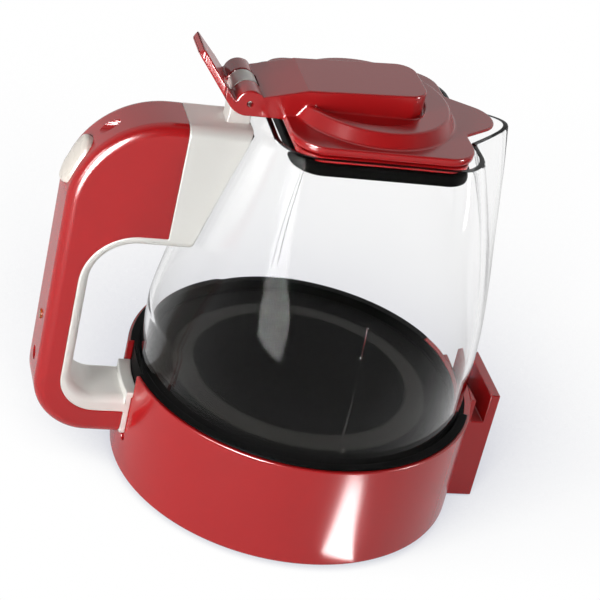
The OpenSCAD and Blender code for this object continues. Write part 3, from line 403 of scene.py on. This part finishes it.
def smoothStep(share):
    share = clamp(share)
    return share * share * (3 - 2 * share)


def mouthEdge(turn, spec):
    c, s = abs(math.cos(turn)), abs(math.sin(turn))
    (mx, my), corner = spec["mouth"], spec["corner"]
    cx, cy = mx - corner, my - corner
    if c * cy > s * mx:
        return mx / c
    if s * cx > c * my:
        return my / s
    b = cx * c + cy * s
    return b + math.sqrt(b * b - cx * cx - cy * cy + corner * corner)


def beakEdge(turn, spec):
    # Two straight flanks with a soft tip
    side = math.atan(spec["beakHalf"] / spec["mouth"][0])
    if math.cos(turn) <= math.cos(side):
        return 0

    def bend(angle):
        return math.hypot(math.sin(angle), spec["beakSoft"]) - spec["beakSoft"]

    lean = math.cos(side) * (spec["beakReach"] / spec["mouth"][0] - 1) / bend(side)
    return spec["beakReach"] / (math.cos(turn) + lean * bend(turn))


def jugTurns(spec):
    # Even columns, closer where a level mark stands
    mark = spec["mark"]
    turns = [2 * math.pi * i / spec["turns"] for i in range(spec["turns"])]
    near = mark["reach"] / spec["radius"]
    for centre in mark["turns"]:
        turns = [t for t in turns if abs(t - centre) > near]
        turns += [centre + near * (2 * i / mark["steps"] - 1) for i in range(mark["steps"] + 1)]
    return sorted(turns)


def jugLine(turn, spec):
    # The wall's closed outline at one bearing, as radius, height and whether it is on the rim
    mark, wall, edge, foot = spec["mark"], spec["wall"], spec["edge"], spec["foot"]
    mouth = mouthEdge(turn, spec)
    rim = max(mouth, beakEdge(turn, spec))
    top = spec["top"] + spec["beakRise"] * (rim - mouth) / (spec["beakReach"] - spec["mouth"][0])
    mean, lean = spec["curve"]
    power = mean + lean * math.cos(turn)
    away = min(abs(turn - centre) for centre in mark["turns"])

    def ring(z):
        share = clamp((z - spec["shoulder"]) / (top - spec["shoulder"]))
        return spec["radius"] + (rim - spec["radius"]) * share ** power

    def raised(z):
        share = clamp((z - mark["low"]) / (mark["high"] - mark["low"]))
        half = mark["half"][0] + (mark["half"][1] - mark["half"][0]) * share
        along = max(mark["low"] - z, 0, z - mark["high"])
        return mark["rise"] * smoothStep(mark["steep"] * (1 - math.hypot(away * ring(z), along) / half))

    span = top - foot - 2 * edge
    levels = [foot + edge + span * i / spec["levels"] for i in range(spec["levels"] + 1)]
    arc = [math.pi / 2 * i / spec["edgeSteps"] for i in range(spec["edgeSteps"] + 1)]
    line = [(ring(foot) - edge * (1 - math.sin(a)), foot + edge * (1 - math.cos(a))) for a in arc[:-1]]
    line += [(ring(z) + raised(z), z) for z in levels]
    line += [(ring(top) - edge * (1 - math.cos(a)), top - edge * (1 - math.sin(a))) for a in arc[1:]]
    line += [(ring(top) - wall + edge * (1 - math.sin(a)), top - edge * (1 - math.cos(a))) for a in arc[:-1]]
    line += [(ring(z) - wall, z) for z in reversed(levels)]
    line += [(ring(foot) - wall + edge * (1 - math.cos(a)), foot + edge * (1 - math.sin(a))) for a in arc[1:]]
    return [(r, z, top - z < spec["rimDepth"]) for r, z in line]


def makeJug(spec):
    turns = jugTurns(spec)
    verts, paintedRimShare = [], []
    for turn in turns:
        for r, z, onRim in jugLine(turn, spec):
            verts.append((r * math.cos(turn) * mm, r * math.sin(turn) * mm, z * mm))
            paintedRimShare.append(float(onRim))
    rows, columns = len(verts) // len(turns), len(turns)
    faces = []
    for i in range(columns):
        for k in range(rows):
            a, b = i * rows, (i + 1) % columns * rows
            faces.append((a + k, b + k, b + (k + 1) % rows, a + (k + 1) % rows))
    mesh = bpy.data.meshes.new("glassJug")
    mesh.from_pydata(verts, [], faces)
    # Marks the rim's top, which the glass paint darkens as a painted stand-in for the seal seen through it
    mesh.attributes.new("rim", "FLOAT", "POINT").data.foreach_set("value", paintedRimShare)
    fit(linkMesh("glassJug", mesh, clearGlass, spec["sharp"]), "kettle", "glass_jug")


makeJug(jugSpec)
print("jug pressed")

# Mouldings that keep the frame's shape and get the edge radius of a real tool; sizes in millimetres. Inside
# a spared box, where holes crowd the edges, they stay sharp, and turned gives a round's x, z and radius
mouldSpec = {
    "baseRing": {"node": "base_ring", "paint": redAbs, "edge": 0.45},
    "hookBracket": {"node": "hook_bracket", "paint": redAbs, "edge": 0.5},
    "handleShell": {"node": "handle_shell", "paint": redAbs, "edge": 0.35, "turned": (-77, 129, 38),
                    "spared": [((-130, -9, 120), (-90, 9, 170)), ((-120, -7, 44), (-100, 7, 59))]},
    "handleFrame": {"node": "handle_frame", "paint": paleAbs, "edge": 0.5},
    "lidCover": {"node": "lid_cover", "paint": redAbs, "edge": 0.7,
                 "spared": [((-55, -30, 177.6), (-48.5, 30, 184)), ((-49.5, -30, 183), (-43, 30, 188))]},
    "lidPlug": {"node": "lid_plug", "paint": redAbs, "edge": 0.5},
    "lidSeal": {"node": "lid_seal", "paint": blackSilicone, "edge": 1.0},
    "jugSeal": {"node": "jug_seal", "paint": blackSilicone, "edge": 0.3},
    "footRing": {"node": "foot_ring", "paint": blackSilicone, "edge": 0.6},
    "bottomCover": {"node": "bottom_cover", "paint": blackNylon, "edge": 0.3},
}
# Faces within the flat angle are joined and edges past the crease angle rounded; degrees and millimetres
roundSpec = {"flat": 0.5, "crease": 38, "segments": 3, "sharp": 30, "offTurn": 0.02}


def trueNormals(mesh, turned):
    # Faces that lie on a cylinder about an axis along y shade as that cylinder, whatever their outline
    x, z, radius = (size * mm for size in turned)
    normals = [corner.vector.copy() for corner in mesh.corner_normals]
    for face in mesh.polygons:
        spokes = [Vector((mesh.vertices[v].co.x - x, 0, mesh.vertices[v].co.z - z)) for v in face.vertices]
        if all(abs(spoke.length - radius) < roundSpec["offTurn"] * mm for spoke in spokes):
            for corner, spoke in zip(face.loop_indices, spokes):
                normals[corner] = spoke.normalized()
    mesh.normals_split_custom_set(normals)


def roundEdges(name, spec):
    node = nodes[spec["node"]]
    work = mergedCopy(node)
    flat, crease = math.radians(roundSpec["flat"]), math.radians(roundSpec["crease"])
    bmesh.ops.dissolve_limit(work, angle_limit=flat, verts=work.verts, edges=work.edges)
    weight = work.edges.layers.float.new("bevel_weight_edge")
    boxes = spec.get("spared", ())
    for edge in work.edges:
        middle = (edge.verts[0].co + edge.verts[1].co) / 2 / mm
        spared = any(all(a <= m <= b for a, m, b in zip(low, middle, high)) for low, high in boxes)
        edge[weight] = float(not spared and edge.calc_face_angle(0) > crease)
    piece = linkMesh(name, settle(work, name), spec["paint"], roundSpec["sharp"])
    bevel = piece.modifiers.new("edge", "BEVEL")
    bevel.width = spec["edge"] * mm
    bevel.segments = roundSpec["segments"]
    bevel.limit_method = "WEIGHT"
    bevel.use_clamp_overlap = False
    bevel.miter_outer = "MITER_ARC"
    even = piece.modifiers.new("even", "WEIGHTED_NORMAL")
    even.keep_sharp = True
    bake(piece)
    if "turned" in spec:
        trueNormals(piece.data, spec["turned"])
    fit(piece, node["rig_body"], spec["node"])


for name, spec in mouldSpec.items():
    roundEdges(name, spec)
print("mouldings rounded")

# Button: a pillowed cap on a flanged skirt with a stem, built along its own axis; sizes in millimetres
buttonSpec = {
    "centre": (-77, 0, 129), "tilt": 22, "long": 21.5, "wide": 13.5, "top": 40.6, "edge": 1.3, "turns": 96,
    "arc": 6, "steps": 9, "tip": 0.4, "flange": (31.73, 33.13), "flangeOut": 1.2, "stem": 2.2, "stemEnd": 23,
    "sharp": 40,
}


def makeButton(spec):
    half, radius, edge, top = (spec["long"] - spec["wide"]) / 2, spec["wide"] / 2, spec["edge"], spec["top"]
    turns = [2 * math.pi * i / spec["turns"] for i in range(spec["turns"])]

    def outline(inset):
        out = radius - inset
        return [(math.copysign(half, math.cos(t)) + out * math.cos(t), out * math.sin(t)) for t in turns]

    def crown(x, y):
        return math.sqrt(top * top - x * x) + math.sqrt(spec["wide"] ** 2 - y * y) - spec["wide"]

    arc = [math.pi / 2 * i / spec["arc"] for i in range(spec["arc"] + 1)]
    insets = [(edge * (1 - math.cos(a)), edge * (1 - math.sin(a))) for a in arc]
    inner = radius - spec["tip"]
    insets += [(edge + (inner - edge) * i / spec["steps"], 0) for i in range(1, spec["steps"] + 1)]
    rows = [[(x, y, crown(x, y) - drop) for x, y in outline(inset)] for inset, drop in reversed(insets)]
    low, high = spec["flange"]
    for inset, z in ((0, high), (-spec["flangeOut"], high), (-spec["flangeOut"], low)):
        rows.append([(x, y, z) for x, y in outline(inset)])
    for z in (low, spec["stemEnd"]):
        rows.append([(spec["stem"] * math.cos(t), spec["stem"] * math.sin(t), z) for t in turns])
    count = len(turns)
    faces = [tuple(range(count)), tuple(reversed(range((len(rows) - 1) * count, len(rows) * count)))]
    for k in range(len(rows) - 1):
        for i in range(count):
            j = (i + 1) % count
            faces.append((k * count + i, (k + 1) * count + i, (k + 1) * count + j, k * count + j))
    mesh = bpy.data.meshes.new("powerButton")
    mesh.from_pydata([Vector(p) * mm for row in rows for p in row], [], faces)
    stand = Matrix.Rotation(math.radians(spec["tilt"] - 90), 4, "Y")
    mesh.transform(Matrix.Translation(Vector(spec["centre"]) * mm) @ stand)
    cap = linkMesh("powerButton", mesh, ivoryAbs, spec["sharp"])
    fit(cap, nodes["power_button"]["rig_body"], "power_button")


makeButton(buttonSpec)
print("button shaped")

# Return spring of the button, copied from the frame's coil; travel is in millimetres
springSpec = {"node": "button_spring", "joint": "button_press", "travel": 2.0, "sharp": 32}


def fitSpring(spec):
    node = nodes[spec["node"]]
    mesh = settle(mergedCopy(node), "buttonSpring")
    coil = linkMesh("buttonSpring", mesh, steel, spec["sharp"])
    fit(coil, node["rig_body"], spec["node"])
    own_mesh(coil)


fitSpring(springSpec)
print("spring fitted")

# Screws: domed heads with a cross recess; each node's screws are one Geometry Nodes result. Sizes in
# millimetres, turns in degrees, and each lot is a length with the places under the heads
coverRing = {"radius": 66.5, "height": 5.5, "bearings": (45, 135, 225, 315)}
screwSpec = {
    "sizes": {"headRadius": 3.0, "headHeight": 2.0, "shankRadius": 1.38, "slotWidth": 0.8, "slotLength": 3.6,
              "slotDepth": 1.0, "dome": 0.5},
    "facets": {"head": 40, "side": 3, "fill": 5, "shank": 24},
    "sharp": 32,
    "sets": {
        "coverScrews": {"node": "cover_screws", "turn": (0, 0, 0), "lots": {
            12: [(coverRing["radius"] * math.cos(math.radians(bearing)),
                  coverRing["radius"] * math.sin(math.radians(bearing)),
                  coverRing["height"]) for bearing in coverRing["bearings"]]}},
        "lidScrews": {"node": "lid_screws", "turn": (0, 0, 0), "lots": {
            8: [(x, y, 165.4) for x in (-18, 18) for y in (-22, 22)]}},
        "bracketScrews": {"node": "bracket_screws", "turn": (0, 90, 0), "lots": {
            10: [(70.893, y, 21.75) for y in (-9, 9)]}},
        "handleScrews": {"node": "handle_screws", "turn": (0, 90, 0), "lots": {
            12: [(-92, 0, 158.2)], 8.1: [(-110.6, 0, 51.5)]}},
    },
}


def screwTree(sizes, facets):
    tree = bpy.data.node_groups.new("screwSet", "GeometryNodeTree")
    inputs = {"Geometry": "Geometry", **{name: "Float" for name in (*sizes, "length")},
              "turn": "Vector", "paint": "Material"}
    for name, kind in inputs.items():
        tree.interface.new_socket(name, in_out="INPUT", socket_type="NodeSocket" + kind)
    tree.interface.new_socket("Geometry", in_out="OUTPUT", socket_type="NodeSocketGeometry")
    given = addNode(tree, "NodeGroupInput").outputs

    # The outer half of the head draws back towards its rim, which leaves a dome
    head = addNode(tree, "GeometryNodeMeshCylinder", {
        "Vertices": facets["head"], "Side Segments": facets["side"], "Fill Segments": facets["fill"]},
        {"Radius": given["headRadius"], "Depth": given["headHeight"]})
    spot = addNode(tree, "ShaderNodeSeparateXYZ", None,
                   {0: addNode(tree, "GeometryNodeInputPosition").outputs[0]}).outputs
    flat = addNode(tree, "ShaderNodeCombineXYZ", None, {0: spot["X"], 1: spot["Y"]}).outputs[0]
    away = addNode(tree, "ShaderNodeVectorMath", {"operation": "DOT_PRODUCT"}, {0: flat, 1: flat})
    whole = addNode(tree, "ShaderNodeMath", {"operation": "MULTIPLY"},
                    {0: given["headRadius"], 1: given["headRadius"]})
    share = addNode(tree, "ShaderNodeMath", {"operation": "DIVIDE"},
                    {0: away.outputs["Value"], 1: whole.outputs[0]})
    sink = addNode(tree, "ShaderNodeMath", {"operation": "MULTIPLY"}, {0: share.outputs[0], 1: given["dome"]})
    outer = addNode(tree, "FunctionNodeCompare", {"data_type": "FLOAT", "operation": "LESS_THAN"},
                    {0: spot["Z"]})
    inwards = addNode(tree, "ShaderNodeCombineXYZ", None, {2: sink.outputs[0]})
    domed = addNode(tree, "GeometryNodeSetPosition", None, {
        "Geometry": head.outputs["Mesh"], "Selection": outer.outputs[0], "Offset": inwards.outputs[0]})
    middle = addNode(tree, "ShaderNodeMath", {"operation": "MULTIPLY", 1: -0.5}, {0: given["headHeight"]})
    headPlace = addNode(tree, "ShaderNodeCombineXYZ", None, {2: middle.outputs[0]})
    head = addNode(tree, "GeometryNodeTransform", None,
                   {"Geometry": domed.outputs[0], "Translation": headPlace.outputs[0]})

    # Two crossed bars, half above the head, cut the recess
    crossed = addNode(tree, "GeometryNodeMeshBoolean", {"operation": "DIFFERENCE", "solver": "EXACT"},
                      {"Mesh 1": head.outputs[0]})
    thick = addNode(tree, "ShaderNodeMath", {"operation": "MULTIPLY", 1: 2.0}, {0: given["slotDepth"]})
    face = addNode(tree, "ShaderNodeMath", {"operation": "MULTIPLY", 1: -1.0}, {0: given["headHeight"]})
    barPlace = addNode(tree, "ShaderNodeCombineXYZ", None, {2: face.outputs[0]})
    for long, wide in (("slotLength", "slotWidth"), ("slotWidth", "slotLength")):
        size = addNode(tree, "ShaderNodeCombineXYZ", None,
                       {0: given[long], 1: given[wide], 2: thick.outputs[0]})
        bar = addNode(tree, "GeometryNodeMeshCube", None, {"Size": size.outputs[0]})
        bar = addNode(tree, "GeometryNodeTransform", None,
                      {"Geometry": bar.outputs["Mesh"], "Translation": barPlace.outputs[0]})
        tree.links.new(bar.outputs[0], crossed.inputs["Mesh 2"])

    # The shank starts a dome's depth inside the head
    reach = addNode(tree, "ShaderNodeMath", {"operation": "ADD"}, {0: given["length"], 1: given["dome"]})
    rest = addNode(tree, "ShaderNodeMath", {"operation": "SUBTRACT"}, {0: given["length"], 1: given["dome"]})
    half = addNode(tree, "ShaderNodeMath", {"operation": "MULTIPLY", 1: 0.5}, {0: rest.outputs[0]})
    shankPlace = addNode(tree, "ShaderNodeCombineXYZ", None, {2: half.outputs[0]})
    shank = addNode(tree, "GeometryNodeMeshCylinder", {"Vertices": facets["shank"]},
                    {"Radius": given["shankRadius"], "Depth": reach.outputs[0]})
    shank = addNode(tree, "GeometryNodeTransform", None,
                    {"Geometry": shank.outputs["Mesh"], "Translation": shankPlace.outputs[0]})
    screw = addNode(tree, "GeometryNodeMeshBoolean", {"operation": "UNION", "solver": "EXACT"})
    for part in (crossed, shank):
        tree.links.new(part.outputs[0], screw.inputs["Mesh 2"])

    placed = addNode(tree, "GeometryNodeInstanceOnPoints", None, {
        "Points": given["Geometry"], "Instance": screw.outputs[0], "Rotation": given["turn"]})
    solid = addNode(tree, "GeometryNodeRealizeInstances", None, {"Geometry": placed.outputs[0]})
    painted = addNode(tree, "GeometryNodeSetMaterial", None,
                      {"Geometry": solid.outputs[0], "Material": given["paint"]})
    addNode(tree, "NodeGroupOutput", None, {"Geometry": painted.outputs[0]})
    return tree


def driveScrews(spec):
    tree = screwTree(spec["sizes"], spec["facets"])
    identifiers = {item.name: item.identifier for item in tree.interface.items_tree if item.in_out == "INPUT"}
    for name, group in spec["sets"].items():
        joined = bmesh.new()
        for length, places in group["lots"].items():
            points = bpy.data.meshes.new(name)
            points.from_pydata([Vector(p) * mm for p in places], [], [])
            seed = bpy.data.objects.new(name, points)
            bpy.context.scene.collection.objects.link(seed)
            grower = seed.modifiers.new("grow", "NODES")
            grower.node_group = tree
            values = {key: size * mm for key, size in spec["sizes"].items()}
            values.update(length=length * mm, turn=[math.radians(a) for a in group["turn"]], paint=steel)
            for key, value in values.items():
                grower[identifiers[key]] = value
            joined.from_mesh(bake(seed).data)
            bpy.data.objects.remove(seed)
        screws = linkMesh(name, settle(joined, name), steel, spec["sharp"])
        fit(screws, nodes[group["node"]]["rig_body"], group["node"])


driveScrews(screwSpec)
print("screws driven")
